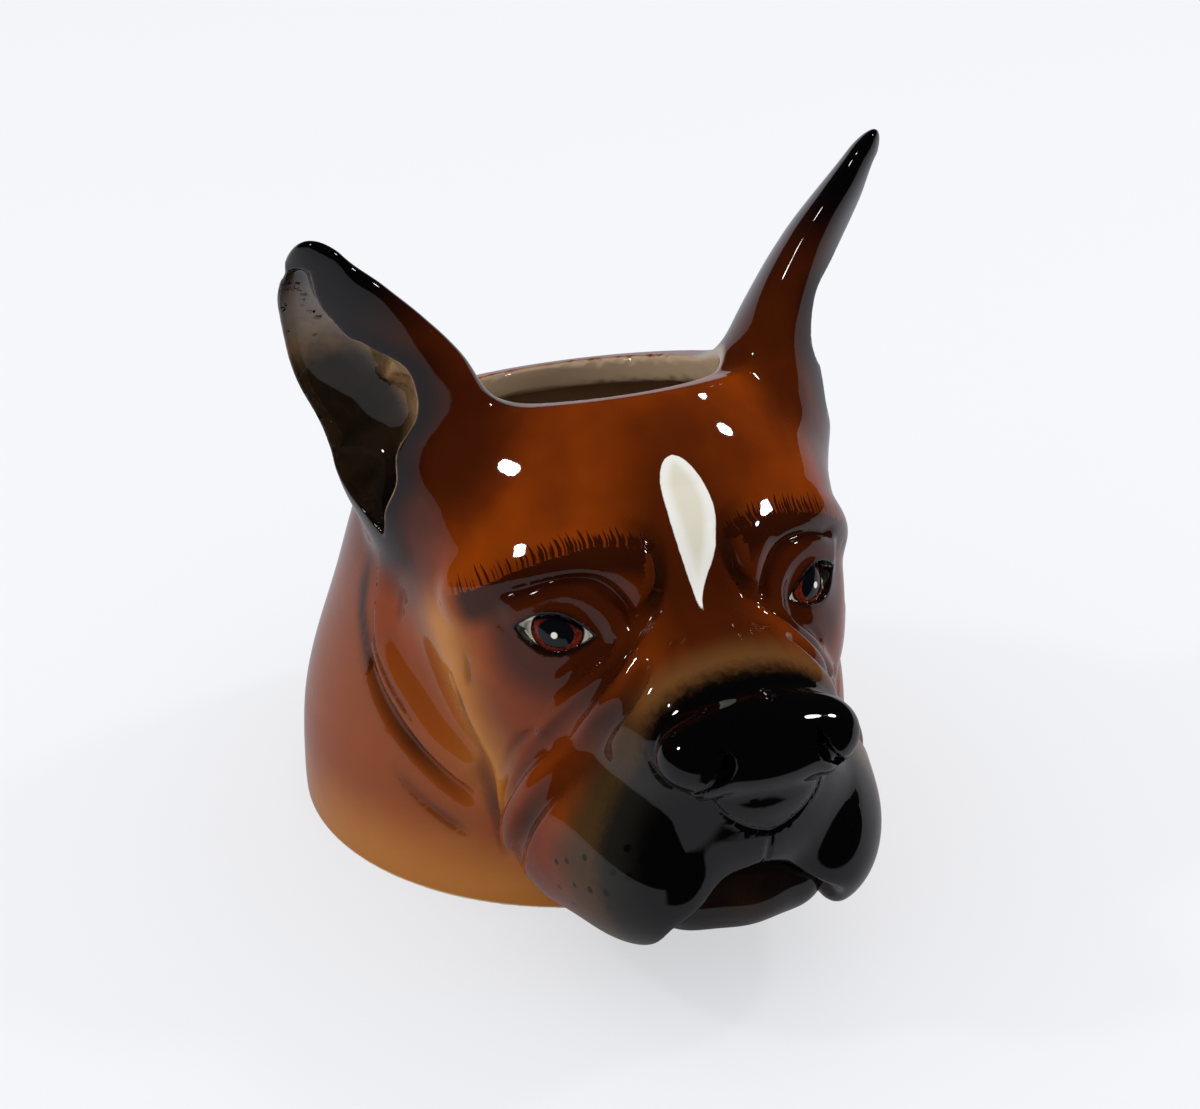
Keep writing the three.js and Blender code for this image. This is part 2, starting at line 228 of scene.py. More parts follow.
# Eyes: a ball of clay under two thin lids, modelled in one with the head. The almond opening
# between the lids is measured in the eye's own axes.
EYE = row(38.2, -93.2, 116.2)
EYE_BALL, LID = 13.0, 1.7
EYE_OUT = row(0.56, -0.805, 0.195)
EYE_SIDE = row(0.81, 0.583, 0.06)
EYE_UP = np.cross(EYE_SIDE, EYE_OUT)
ALMOND_MIDDLE, ALMOND_HALF, ALMOND_RISE, ALMOND_TILT = 0.8, 12.7, 0.9, 0.5
UPPER_LID, LOWER_LID = 6.6, 6.2
SOCKET, EYE_FRONT, FACE_BACK = ((50, -112, 121), (18, 12, 11)), 4, -25


def eye_axes(q):
    """Place in the eye's own axes: towards its outer corner, up and out of the socket."""
    d = q - EYE
    return d @ EYE_SIDE, d @ -EYE_UP, d @ EYE_OUT


def almond(u, v):
    """Opening between the lids: below zero inside, two parabolas that meet at the corners."""
    s = (u - ALMOND_MIDDLE) / ALMOND_HALF
    upper = UPPER_LID * (1 - s * s) + ALMOND_RISE - ALMOND_TILT * s
    lower = -LOWER_LID * (1 - s * s) + ALMOND_RISE - ALMOND_TILT * s
    return np.maximum(v - upper, lower - v) * 0.85


def face(p):
    """The head with brows, sockets, lids, eyes, nose and lips, both sides alike."""
    q = mirror(p)
    f = masses(p)
    front = q[:, 1] < FACE_BACK
    g, r = f[front], q[front]
    g = relief(r, g, ROLLS, -1, soft)
    g = relief(r, g, FURROW, 1, soft)
    g = meet(g, -body(r, *SOCKET), 9)
    g = relief(r, g, CREASES, 1, sharp)
    u, v, w = eye_axes(r)
    ball = np.linalg.norm(r - EYE, axis=1)
    g = join(g, ball - EYE_BALL - LID, 9)
    g = meet(g, -np.maximum(almond(u, v), EYE_FRONT - w), 1.2)
    g = np.minimum(g, ball - EYE_BALL)
    g = lips(r, nose(r, g))
    f = f.copy()
    f[front] = g
    return f


# Nose: broad leather with rolled wings, in one with the muzzle. The comma nostrils are cut with a
# loop tool, and a groove runs from them round the shield and down to the lip.
NOSE_TOP, NOSE_WING = ((0, -161, 103), (30, 18, 15.5)), ((19, -162, 103), (14.5, 13.5, 11.5))
NOSE_FRONT = (0, -162, 90), (19, 14, 14)
NOSTRIL = [
    (13.5, -165, 109), (15, -173, 107), (17.3, -175.5, 103.5), (21.2, -174.3, 99.6), (24.6, -169.5, 95.6),
    (27, -161.5, 92.6), (30.3, -154.8, 93.4), (32.4, -150, 98), (33, -147, 103),
]
NOSTRIL_WIDE = [2.6, 2.7, 2.2, 1.6, 1.4, 1.4, 1.2, 0.8, 0.3]
NOSTRIL_LOBE = [(21, -168, 93.5), (18, -171.2, 96.8), (13, -172.6, 101)]
SHIELD = [(22, -167, 94), (16, -170.3, 86.5), (11.8, -172.3, 83), (6, -173, 79.5), (0, -173.3, 77.5)]
PHILTRUM = [(0, -180, 96), (0, -178, 86), (0, -174, 74), (0, -170, 60)]
LOBE_RADIUS, SHIELD_WIDTH, SHIELD_CUT, PHILTRUM_WIDTH, PHILTRUM_CUT = 2.8, 1.8, 0.8, 1.9, 1.5


def nose(q, g):
    """Joins the three masses of the nose to the face, then cuts its grooves and nostrils."""
    g = join(g, body(q, *NOSE_TOP), 4)
    g = join(g, body(q, *NOSE_WING), 4)
    g = join(g, body(q, *NOSE_FRONT), 5)
    near = (q[:, 1] < -140) & (q[:, 2] > 50)
    if near.any():
        r, h = q[near], g[near]
        gap, _ = to_strand(r, strand(NOSTRIL_LOBE).astype(np.float32))
        h = join(h, gap - LOBE_RADIUS, 3)
        gap, _ = to_strand(r, strand(SHIELD).astype(np.float32))
        h = h + SHIELD_CUT * sharp(gap / SHIELD_WIDTH)
        gap, where = to_strand(r, strand(NOSTRIL).astype(np.float32))
        width = along(np.linspace(0, 1, len(NOSTRIL_WIDE)), NOSTRIL_WIDE, where)
        h = meet(h, width - gap, 1.2)
        gap, where = to_strand(r, strand(PHILTRUM).astype(np.float32))
        h = h + PHILTRUM_CUT * np.clip(where * 3, 0, 1) * sharp(gap / PHILTRUM_WIDTH)
        g = g.copy()
        g[near] = h
    return g


# Lips: the flews hang down on both sides of the mouth, which is cut up between them in a low
# arch while the clay is soft. The jaw is luted into the cut.
LIP_TOP, LIP_SLOPE, MOUTH_HALF, MOUTH_BACK = 61.5, 0.6, 31.5, -98


def lips(q, g):
    """Cuts out what lies under the lip line, between the flews and before the throat."""
    under = 0.85 * (q[:, 2] - LIP_TOP + LIP_SLOPE * q[:, 0])
    beside = q[:, 0] - MOUTH_HALF - 0.1 * (q[:, 1] + 150)
    arch = meet(under, np.maximum(beside, q[:, 1] - MOUTH_BACK), 9)
    return meet(g, -arch, 6)


# Crown: the rim slopes down towards the back. An oval mouth with a collar opens into the hollow
# head, whose wall follows the outside 7 mm in.
WALL, COLLAR = 7.0, 10.0
RIM_Z, RIM_Y, RIM_DROP = 179, -64, np.radians(19.7)
OPENING_WIDE, OPENING_DEEP, OPENING_Y, OPENING_FOOT = 45.0, 50.5, -10, 100


def above_rim(p):
    """Height over the plane of the rim."""
    return (p[:, 2] - RIM_Z) * np.cos(RIM_DROP) + (p[:, 1] - RIM_Y) * np.sin(RIM_DROP)


def hollow(p):
    """The oval opening joined to the room inside, which lies a wall's thickness in."""
    opening = oval(p[:, 0], p[:, 1] - OPENING_Y, OPENING_WIDE, OPENING_DEEP)
    opening = meet(opening, OPENING_FOOT - p[:, 2], 8)
    inside = meet(lips(mirror(p), masses(p)) + WALL, WALL - p[:, 2], 10)
    return join(opening, meet(inside, above_rim(p) + COLLAR, 10), 3)


# Ears: each is cast apart and luted to the crown, a blade of oval section that bends back and
# out. A leaf-shaped cup is hollowed out of its front, with a raised fold low down in it.
EAR_ROOT = row(62, -34, 144)
EAR_TIP = {LEFT: row(98.5, -24, 238), RIGHT: row(100.5, -24, 228)}
EAR_ACROSS = row(-0.46, -0.8, 0.4)
EAR_AT = [-0.5, -0.25, 0, 0.25, 0.4, 0.5, 0.6, 0.7, 0.8, 0.9, 0.97, 1.04]
EAR_WIDE = [10, 30, 37, 36.5, 37.5, 35.5, 31.8, 27.5, 22.7, 15.5, 11.5, 9]
EAR_DEEP = [7, 20, 23, 17, 13.8, 12, 10.2, 8.6, 7.1, 5.4, 4.4, 3.6]
BEND_AT = [-0.3, 0, 0.3, 0.6, 0.85, 1.04]
BEND_ACROSS = [0, -4, -7.5, -8.3, -3.7, 4]
BEND_OUT = [0, -5, -9.5, -9, -4, 0]
CUP_AT = [-0.1, 0, 0.1, 0.2, 0.3, 0.4, 0.5, 0.6, 0.7, 0.8, 0.95]
CUP_WIDE = [2, 7, 18, 25.5, 30.5, 32.5, 31, 24.3, 18, 13.8, 8]
CUP_SHIFT = [-12, -12, -12, -15.5, -10.5, -9, -8.6, -11.8, -13.6, -12.8, -5.5]
CUP_WALL = [16, 14, 10, 7, 5, 4.2, 3.8, 3.5, 3.3, 3.2, 3]
EAR_FOLDS = [
    ([(4, 66, 0), (7, 52, 0), (4, 40, 0), (-4, 30, 0)], 3.0, 2.6),
    ([(13, 30, 0), (7, 32, 0), (1, 35, 0), (-9, 31, 0)], 2.2, 2.0),
    ([(15, 46, 0), (12, 36, 0), (9, 24, 0)], 2.0, 1.2),
]
CUP_LIP, CUP_FOOT, CUP_TIP = 3.2, -0.09, 0.95
TIP_FROM, TIP_LENGTH, EAR_FOOT = 0.94, 0.095, -0.5
NICK_AT, NICK_ACROSS, NICK_WIDTH, NICK_CUT = 0.925, -16, 3.2, 2.0
EAR_INNER = 20


def ear_axes(p, side):
    """Place along the ear (0 root, 1 tip), then across it and out of it in mm, and its length."""
    rise = EAR_TIP[side] - EAR_ROOT
    length = np.linalg.norm(rise)
    rise = rise / length
    across = EAR_ACROSS - EAR_ACROSS @ rise * rise
    across = across / np.linalg.norm(across)
    out = -np.cross(across, rise)
    d = p * row(side, 1, 1) - EAR_ROOT
    t = d @ rise / length
    u = d @ across - along(BEND_AT, BEND_ACROSS, t)
    v = d @ out - along(BEND_AT, BEND_OUT, t)
    return t, u, v, length


def ear_cup(t, u, v, length):
    """Oval trough that stays a wall's thickness before the back of the blade and inside its lip."""
    wide, deep = along(CUP_AT, CUP_WIDE, t), along(EAR_AT, EAR_DEEP, t)
    cup = oval(u - along(CUP_AT, CUP_SHIFT, t), v - 0.2 * deep - 5, wide, 1.15 * deep)
    floor = oval(u, v - along(CUP_AT, CUP_WALL, t), along(EAR_AT, EAR_WIDE, t) - CUP_LIP, deep)
    cup = meet(meet(cup, floor, 4), np.maximum(t - CUP_TIP, CUP_FOOT - t) * length, 9)
    flat = np.stack([u, t * length, 0 * u], 1)
    for path, width, proud in EAR_FOLDS:
        gap, where = to_strand(flat, strand(path).astype(np.float32))
        cup = cup + proud * np.clip(5 * where, 0, 1) * soft(gap / width)
    return cup


def ear(p, side):
    """Blade less its cup, rounded off over its last tenth. The right ear has a nick by its tip."""
    t, u, v, length = ear_axes(p, side)
    wide, deep = along(EAR_AT, EAR_WIDE, t), along(EAR_AT, EAR_DEEP, t)
    over = np.maximum(t - TIP_FROM, 0) / TIP_LENGTH
    blade = meet(oval(np.hypot(u, over * wide), v, wide, deep), -(t - EAR_FOOT) * length, 3)
    if side == RIGHT:
        nick = np.hypot((t - NICK_AT) * length, u - NICK_ACROSS)
        blade = blade + NICK_CUT * soft(nick / NICK_WIDTH)
    return meet(blade, -ear_cup(t, u, v, length), 2)


CUT_BELOW = -2


def head(p):
    """The whole casting with its ears, open at the crown and run on a little below its base."""
    f = meet(face(p), above_rim(p), 4)
    for side in (LEFT, RIGHT):
        near = side * p[:, 0] > EAR_INNER
        f[near] = join(f[near], ear(p[near], side), 14)
    f = meet(f, -hollow(p), 3)
    return np.maximum(f, CUT_BELOW - p[:, 2])


# Skin: the surface of a field is found on a regular lattice, one point in each cell that it
# crosses, then the triangles are split where the modelling is fine and pulled onto the field.
def lattice(field, low, high, step, coarse=4):
    """Field values on a lattice; far from the surface only their sign is kept."""
    count = np.ceil((high - low) / (step * coarse)).astype(int) + 1
    axes = [low[k] + step * coarse * np.arange(count[k]) for k in range(3)]
    spots = np.stack(np.meshgrid(*axes, indexing="ij"), -1).reshape(-1, 3)
    rough = field(spots.astype(np.float32)).reshape(count)
    near = np.abs(rough) < step * coarse * 1.6
    cells = near[:-1, :-1, :-1].copy()
    for a, b, c in np.ndindex(2, 2, 2):
        cells |= near[a : count[0] - 1 + a, b : count[1] - 1 + b, c : count[2] - 1 + c]
    fine = (count - 1) * coarse + 1
    sign = np.where(rough[:-1, :-1, :-1] > 0, 99.0, -99.0)
    values = np.full(fine, 99.0, np.float32)
    values[:-1, :-1, :-1] = np.kron(sign, np.ones((coarse,) * 3))
    use = np.zeros(fine, bool)
    block = np.kron(cells, np.ones((coarse,) * 3)).astype(bool)
    for a, b, c in np.ndindex(2, 2, 2):
        use[a : a + block.shape[0], b : b + block.shape[1], c : c + block.shape[2]] |= block
    spots = np.argwhere(use)
    values[use] = field((low + step * spots).astype(np.float32))
    return values


def surface_net(values, low, step):
    """One vertex per crossed cell, at the mean of its edge crossings, and a quad per crossed edge."""
    inside = values < 0
    shape = np.array(values.shape) - 1
    total = np.zeros((*shape, 3), np.float32)
    count = np.zeros(shape, np.float32)
    quads = []
    number = np.arange(shape.prod()).reshape(shape)
    for k in range(3):
        a = np.moveaxis(inside, k, 0)
        v = np.moveaxis(values, k, 0)
        crossed = a[:-1] != a[1:]
        where = np.argwhere(crossed)
        v0, v1 = v[:-1][crossed], v[1:][crossed]
        at = where.astype(np.float32)
        at[:, 0] += v0 / (v0 - v1)
        rest = [j for j in range(3) if j != k]
        spot = np.empty_like(at)
        spot[:, k], spot[:, rest[0]], spot[:, rest[1]] = at[:, 0], at[:, 1], at[:, 2]
        cell = np.empty_like(where)
        cell[:, k], cell[:, rest[0]], cell[:, rest[1]] = where[:, 0], where[:, 1], where[:, 2]
        corners = []
        for i, j in ((0, 0), (1, 0), (1, 1), (0, 1)):
            c = cell.copy()
            c[:, rest[0]] -= i
            c[:, rest[1]] -= j
            ok = ((c >= 0) & (c < shape)).all(1)
            np.add.at(total, tuple(c[ok].T), spot[ok])
            np.add.at(count, tuple(c[ok].T), 1)
            corners.append(number[tuple(np.clip(c, 0, shape - 1).T)])
        quad = np.stack(corners, 1)
        flip = (v0 > 0) ^ (k == 1)
        quad[flip] = quad[flip][:, ::-1]
        quads.append(quad)
    quads = np.concatenate(quads)
    used, quads = np.unique(quads, return_inverse=True)
    quads = quads.reshape(-1, 4)
    points = total.reshape(-1, 3)[used] / count.reshape(-1)[used, None]
    return low + step * points, quads


def slope(field, p, h=0.25):
    """Direction in which the field grows, from four samples at the corners of a small tetrahedron."""
    corners = h * row(1, -1, -1, -1, -1, 1, -1, 1, -1, 1, 1, 1).reshape(4, 3)
    return sum(field(p + c)[:, None] * c for c in corners) / (4 * h * h)


def settle(field, p, rounds=2):
    """Steps each point along the slope until the field is zero there."""
    for _ in range(rounds):
        g = slope(field, p)
        p = p - (np.clip(field(p), -1.5, 1.5) / np.maximum((g * g).sum(1), 0.3))[:, None] * g
    return p


def split(points, faces, fine):
    """Halves every marked edge, and cuts each triangle to match: into two, three or four."""
    edges = np.sort(faces[:, [0, 1, 1, 2, 2, 0]].reshape(-1, 2), 1)
    key = edges[:, 0] * len(points) + edges[:, 1]
    unique, first, back = np.unique(key, return_index=True, return_inverse=True)
    ends = edges[first]
    middle = (points[ends[:, 0]] + points[ends[:, 1]]) / 2
    chosen = fine(middle)
    number = np.full(len(unique), -1)
    number[chosen] = len(points) + np.arange(chosen.sum())
    points = np.concatenate([points, middle[chosen]])
    m = number[back].reshape(-1, 3)
    cuts = (m >= 0).sum(1)
    out = [faces[cuts == 0]]
    t, n = faces[cuts == 3], m[cuts == 3]
    out += [np.stack((t[:, 0], n[:, 0], n[:, 2]), 1), np.stack((n[:, 0], t[:, 1], n[:, 1]), 1)]
    out += [np.stack((n[:, 2], n[:, 1], t[:, 2]), 1), n]
    for k in range(3):
        turn = [k, (k + 1) % 3, (k + 2) % 3]
        one = (cuts == 1) & (m[:, k] >= 0)
        t, n = faces[one][:, turn], m[one][:, turn]
        out += [np.stack((t[:, 0], n[:, 0], t[:, 2]), 1), np.stack((n[:, 0], t[:, 1], t[:, 2]), 1)]
        two = (cuts == 2) & (m[:, k] < 0)
        t, n = faces[two][:, turn], m[two][:, turn]
        out += [np.stack((t[:, 0], t[:, 1], n[:, 1]), 1), np.stack((t[:, 0], n[:, 1], n[:, 2]), 1)]
        out.append(np.stack((n[:, 2], n[:, 1], t[:, 2]), 1))
    return points, np.concatenate(out)


CLAY_LOW, CLAY_HIGH = (-105.4, -178.9, 0), (103.7, 93.45, 242.7)


def skin(name, field, low, high, step, fine_steps):
    """Closed triangle mesh of a field, with the field's own slope as its normals."""
    low, high = np.array(low, float), np.array(high, float)
    points, quads = surface_net(lattice(field, low, high, step), low, step)
    points = settle(field, points.astype(np.float32))
    faces = np.concatenate([quads[:, [0, 1, 2]], quads[:, [0, 2, 3]]])
    for fine in fine_steps:
        points, faces = split(points, faces, fine)
        points = settle(field, points.astype(np.float32), 1)
    points = settle(field, points, 2)
    points = np.clip(points, CLAY_LOW, CLAY_HIGH)
    normals = slope(field, points.astype(float), 0.35)
    normals /= np.linalg.norm(normals, axis=1, keepdims=True) + 1e-9
    mesh = bpy.data.meshes.new(name)
    mesh.vertices.add(len(points))
    mesh.vertices.foreach_set("co", (points * MM).astype(np.float32).ravel())
    mesh.loops.add(3 * len(faces))
    mesh.loops.foreach_set("vertex_index", faces.astype(np.int32).ravel())
    mesh.polygons.add(len(faces))
    mesh.polygons.foreach_set("loop_start", np.arange(0, 3 * len(faces), 3, dtype=np.int32))
    mesh.polygons.foreach_set("loop_total", np.full(len(faces), 3, dtype=np.int32))
    mesh.polygons.foreach_set("use_smooth", np.ones(len(faces), bool))
    mesh.update(calc_edges=True)
    mesh.normals_split_custom_set_from_vertices(normals)
    obj = bpy.data.objects.new(name, mesh)
    bpy.context.scene.collection.objects.link(obj)
    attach(obj, "root")
    return obj, points


FOREHEAD_BACK, FOREHEAD_LOW, FOREHEAD_HIGH = -45, 105, 182


def in_sight(q):
    """False under the base, low down in the hollow and behind the jaw pad in the mouth."""
    mouth = (np.abs(q[:, 0]) < 34) & (q[:, 1] > -145) & (q[:, 1] < -60) & (q[:, 2] < 58)
    return (q[:, 2] > 0.5) & ((hollow(q) > 2) | (q[:, 2] > 150)) & ~mouth


def bent(field, limit):
    """Chooses the edges in sight whose middle lies off the clay by more than the limit."""
    return lambda q: (np.abs(field(q.astype(np.float32))) > limit) & in_sight(q)


def shown(q):
    """True on the brow and forehead, whose highlights need an even skin."""
    ahead = (q[:, 1] < FOREHEAD_BACK) & (q[:, 2] > FOREHEAD_LOW) & (q[:, 2] < FOREHEAD_HIGH)
    return ahead & (above_rim(q) < -1)


HEAD_LOW, HEAD_HIGH, HEAD_STEP = (-108, -184, -7), (108, 98, 245), 2.9
first, later, last = bent(head, 0.05), bent(head, 0.075), bent(head, 0.09)
finer = [lambda q: first(q) | shown(q), later, last]
pot, p = skin("boxer_head", head, HEAD_LOW, HEAD_HIGH, HEAD_STEP, finer)
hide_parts("head_pot", "left_ear", "right_ear")


# Airbrushed colour and painted shade: soft sprays of brown, gold and black, and painted shade in the
# creases, are laid on the biscuit, each as a number on the skin that says how far a spot lies inside its
# spray.
def spray(name, values):
    """Keeps one number for each point of the head's skin, under a name that its glaze reads."""
    layer = pot.data.attributes.new(name, "FLOAT", "POINT")
    layer.data.foreach_set("value", values.astype(np.float32))


def line_gap(q, points):
    """Distance to the smooth path through a few points, and how far along it."""
    return to_strand(q, strand(points).astype(np.float32))


LIP_SOOT, NOSE_SOOT = ((0, -165, 62), (52, 41, 47)), ((0, -161, 104), (37, 25, 21))


def muzzle_soot(q):
    """Distance outside the black of the nose and the dark of the lips."""
    return join(body(q, *LIP_SOOT), body(q, *NOSE_SOOT), 12)


BROW = [
    (70, -70, 121), (62, -80, 128.5), (52, -88, 137), (42, -94, 143),
    (33, -98, 146), (23, -102, 147), (14, -105, 146),
]
CHEEK_LIGHT = [(72, -66, 104), (69, -74, 88), (64, -80, 72), (58, -84, 56)]
MUZZLE_SHADE = [(20, -104, 138), (28, -112, 122), (36, -124, 106), (43, -128, 92)]
LIGHT_WIDTH, SHADE_WIDTH, LID_SHADE = 13, 12, (46, -104, 120)
q = mirror(p)
# Painted shade in the creases: a broad darkening over each fold and a darker line down the deepest, stronger
# where the crease is cut deeper.
crease_shade = np.zeros(len(p), np.float32)
deep_crease_shade = np.zeros(len(p), np.float32)
for points, width, depth in CREASES:
    gap, where = line_gap(q, points)
    ends = np.clip(np.minimum(where, 1 - where) * 4, 0, 1) ** 1.5
    broad, narrow = np.exp(-((gap / (0.75 * width)) ** 2)), np.exp(-((gap / (0.42 * width)) ** 2))
    crease_shade = np.maximum(crease_shade, ends * np.clip(0.35 + depth / 5, 0, 1) * broad)
    deep_crease_shade = np.maximum(deep_crease_shade, ends * np.clip(depth / 2 - 0.8, 0, 1) * narrow)
spray("crease_shade", crease_shade)
spray("deep_crease_shade", deep_crease_shade)
spray("soot", muzzle_soot(q))
gap, where = line_gap(q, BROW)
brow_path = strand(BROW)
height = q[:, 2] - along(np.linspace(0, 1, len(brow_path)), brow_path[:, 2], where)
past_ends = ((where < 0.01) | (where > 0.99)) * (gap > 3)
spray("brow_rise", np.where(height > 0, gap, -gap) + 500 * past_ends)
spray("brow_run", where * np.linalg.norm(np.diff(brow_path, axis=0), axis=1).sum())
spray("lid", np.linalg.norm(q - row(*LID_SHADE), axis=1))
gap, where = line_gap(q, CHEEK_LIGHT)
spray("glow", np.exp(-((gap / LIGHT_WIDTH) ** 2)))
gap, where = line_gap(q, MUZZLE_SHADE)
spray("shadow", np.exp(-((gap / SHADE_WIDTH) ** 2)))
BLAZE_AT = [126, 131, 138, 145, 152, 158.9, 163, 166.5, 168]
BLAZE_HALF = [0, 1.6, 4.4, 6.6, 7.9, 7.4, 5.9, 3.0, -1]
BLAZE_MIDDLE = [-1.8, -0.3, 1.3, 2.2, 2.6, 1.8, 1.0, 0.5, 0.3]
leaf = along(BLAZE_AT, BLAZE_HALF, p[:, 2]) - np.abs(p[:, 0] - along(BLAZE_AT, BLAZE_MIDDLE, p[:, 2]))
on_brow = (p[:, 1] < -75) & (p[:, 2] > BLAZE_AT[0] - 1) & (p[:, 2] < BLAZE_AT[-1] + 1)
spray("blaze", np.where(on_brow, leaf, -9))
spray("within", -hollow(p))
lobe = np.full(len(p), -99.0)
up = np.full(len(p), -0.5)
outward = np.zeros(len(p))
ear_gap = np.full(len(p), 99.0)
for side in (LEFT, RIGHT):
    t, across, out, length = ear_axes(p, side)
    mine = (side * p[:, 0] > EAR_INNER) & (t > EAR_FOOT)
    up[mine] = t[mine]
    wide = along(EAR_AT, EAR_WIDE, t)
    outward[mine] = (side * across / wide)[mine]
    blade = oval(across, out, wide, along(EAR_AT, EAR_DEEP, t))
    ear_gap = np.where(mine, np.maximum(blade, -length * (t + 0.2)), ear_gap)
    lobe = np.where(mine, -ear_cup(t, across, out, length), lobe)
spray("cup", lobe)
spray("ear_up", up)
spray("ear_out", outward)
spray("ear_gap", ear_gap)


# The decorator's brush: sums of sprays and mottles, and one colour laid over another, as the
# glaze of each piece needs them.
class Wire:
    """A node's output that can stand in a sum: + - * add Math nodes to the same material."""

    def __init__(self, tree, socket=None):
        self.tree, self.socket = tree, socket

    def node(self, kind, settings, inputs, out=0):
        """Adds a node: its settings first, then the values or wires of its sockets by name or number."""
        made = self.tree.nodes.new(kind)
        for key, value in settings.items():
            setattr(made, key, value)
        for key, value in inputs.items():
            if isinstance(value, Wire):
                self.tree.links.new(value.socket, made.inputs[key])
            else:
                made.inputs[key].default_value = value
        return Wire(self.tree, made.outputs[out])

    def maths(self, operation, a, b):
        """A Math node on two numbers or wires."""
        return self.node("ShaderNodeMath", {"operation": operation}, {0: a, 1: b})

    def __add__(self, other):
        return self.maths("ADD", self, other)

    __radd__ = __add__

    def __mul__(self, other):
        return self.maths("MULTIPLY", self, other)

    __rmul__ = __mul__

    def __sub__(self, other):
        return self.maths("SUBTRACT", self, other)

    def __rsub__(self, other):
        return self.maths("SUBTRACT", other, self)

    def least(self, other):
        return self.maths("MINIMUM", self, other)

    def most(self, other):
        return self.maths("MAXIMUM", self, other)

    def fade(self, start, end):
        """Smooth step from 0 at start to 1 at end, which may be the lower of the two."""
        settings = {"interpolation_type": "SMOOTHSTEP"}
        return self.node("ShaderNodeMapRange", settings, {0: self, 1: start, 2: end, 3: 0.0, 4: 1.0})

    def attribute(self, name):
        """A spray's number at this spot of the skin."""
        return self.node("ShaderNodeAttribute", {"attribute_name": name}, {}, 2)

    def noise(self, place, scale, detail=2.0, roughness=0.5):
        """Mottle from 0 to 1 with so many patches to the metre."""
        sockets = {"Vector": place, "Scale": scale, "Detail": detail, "Roughness": roughness}
        return self.node("ShaderNodeTexNoise", {}, sockets)

    def dot(self, place, direction):
        """How far a place lies along a direction."""
        return self.node("ShaderNodeVectorMath", {"operation": "DOT_PRODUCT"}, {0: place, 1: direction}, 1)

    def laid(self, under, over, amount):
        """One colour painted over another by an amount from 0 to 1."""
        return self.node("ShaderNodeMix", {"data_type": "RGBA"}, {0: amount, 6: under, 7: over}, 2)


def colour(red, green, blue):
    """Display values 0 to 255 as the linear colour that a shader socket takes."""
    c = np.array([red, green, blue]) / 255
    return (*np.where(c < 0.04045, c / 12.92, ((c + 0.055) / 1.055) ** 2.4), 1.0)


def glaze(name):
    """Thick clear glaze over the paint: a gloss whose only unevenness is a faint orange peel."""
    material = bpy.data.materials.new(name)
    material.use_nodes = True
    tree = material.node_tree
    shader = tree.nodes["Principled BSDF"]
    shader.inputs["Roughness"].default_value = 0.03
    shader.inputs["IOR"].default_value = 1.5
    return material, shader, Wire(tree)


# Painted glaze: the sprays are laid one over another, from the light browns to the black of the muzzle,
# with painted shade in the creases and the ear cups. Brow hairs, whisker dots and the blaze follow by
# brush, under the same clear glaze.
head_glaze, head_shader, brush = glaze("painted glaze")
place = brush.node("ShaderNodeTexCoord", {}, {}, 3)
cloud = brush.noise(place, 28.0, 3.0)
grain = brush.noise(place, 420.0, 3.0, 0.7)
shade_in_creases = brush.attribute("crease_shade")
soot = brush.attribute("soot")
side_x, front_y, high_z = (brush.node("ShaderNodeSeparateXYZ", {}, {0: place}, k) for k in range(3))
off_x = side_x.node("ShaderNodeMath", {"operation": "ABSOLUTE"}, {0: side_x})

ORANGE, RUST, UMBER = colour(142, 58, 5), colour(96, 36, 7), colour(46, 14, 3)
TAN, GOLD, OLIVE, BLACK = colour(138, 68, 26), colour(184, 118, 48), colour(50, 46, 26), colour(4, 3, 3)
CREAM = colour(246, 243, 234)
WHISKERS = [
    (32, -161, 74, 1.9), (28, -165, 71, 2.0), (38, -161, 68, 1.4), (41, -156, 70, 1.2), (46, -156, 62, 1.2),
    (42, -160, 62, 1.3), (51, -145, 62, 1.1), (55, -138, 57, 1.1), (56, -133, 54, 1.0), (51, -149, 52, 1.2),
    (48, -155, 54, 1.2), (54, -142, 50, 1.1), (52, -138, 40, 1.1), (55, -133, 44, 1.0), (34, -165, 66, 1.3),
]

paint = brush.laid(RUST, ORANGE, (cloud * 1.8 - 0.45).fade(0.0, 1.0))
paint = brush.laid(paint, TAN, (high_z + cloud * 0.03).fade(0.125, 0.075) * front_y.fade(-0.1, -0.07) * 0.8)
paint = brush.laid(paint, GOLD, (high_z + cloud * 0.02).fade(0.045, 0.012) * front_y.fade(-0.12, -0.08) * 0.8)
paint = brush.laid(paint, GOLD, (brush.attribute("glow") * (0.4 + cloud * 1.2)).least(0.92))
crown_dark = (front_y.fade(-0.06, -0.105) * off_x.fade(0.034, 0.004)) * (0.55 + cloud * 0.6)
paint = brush.laid(paint, UMBER, crown_dark.least(0.8))
sides = (soot + cloud * 14.0).fade(30.0, 12.0) * high_z.fade(0.13, 0.1) * 0.85
paint = brush.laid(paint, OLIVE, sides)
paint = brush.laid(paint, UMBER, brush.attribute("shadow") * (0.25 + cloud * 0.7))
